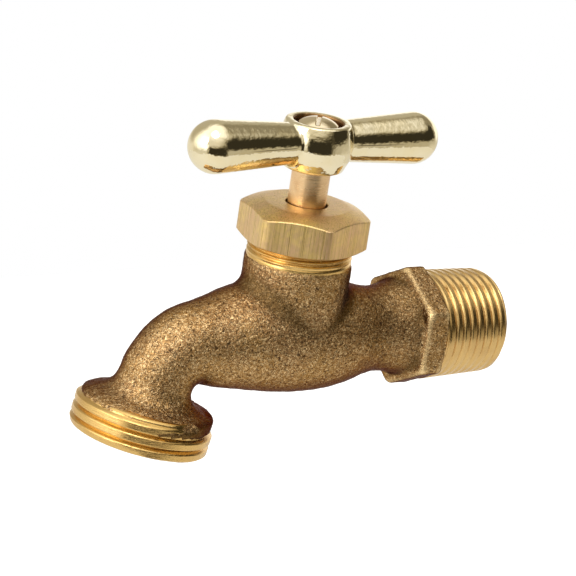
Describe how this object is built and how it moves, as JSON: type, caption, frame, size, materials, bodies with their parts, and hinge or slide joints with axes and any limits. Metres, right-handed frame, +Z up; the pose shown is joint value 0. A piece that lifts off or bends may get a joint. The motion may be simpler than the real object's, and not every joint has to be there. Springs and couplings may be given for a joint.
{
  "type": "hose bibb",
  "caption": "Cast brass hose bibb with a tapered male pipe inlet, a rising stem turned by a tee handle, a hexagon packing nut and a threaded hose outlet.",
  "frame": {"origin": "centre of the inlet's end face, on the pipe thread's axis", "axes": "+X runs out of the inlet along the pipe thread, +Z runs up along the stem, and the spout leans towards -X and down"},
  "size_m": [0.0904, 0.027, 0.0648],
  "materials": {
    "cast_brass": "sand-cast, rough, with machined threads",
    "drawn_brass": "drawn hexagon bar, machined above and below",
    "stem_brass": "turned, satin",
    "polished_brass": "polished",
    "packing": "soft graphited packing",
    "washer_rubber": "matt"
  },
  "bodies": {
    "body": {"body_casting": "cast_brass", "bonnet_cap": "drawn_brass", "friction_ring": "stem_brass", "packing_ring": "packing"},
    "washer": {"seat_washer": "washer_rubber"},
    "handle": {"stem": "stem_brass", "washer_screw": "stem_brass", "tee_handle": "polished_brass", "handle_screw": "polished_brass"}
  },
  "joints": [
    {"name": "stem_lift", "type": "slide", "parent": "body", "child": "washer", "axis": [0, 0, 1], "range_m": [0, 0.00715]},
    {"name": "handle_turn", "type": "hinge", "parent": "washer", "child": "handle", "pos_m": [-0.0464, 0, 0.04095], "axis": [0, 0, 1], "range_deg": [0, 810]}
  ],
  "couplings": [
    {"joint": "stem_lift", "follows": "handle_turn", "m_per_rad": 0.00050532}
  ]
}
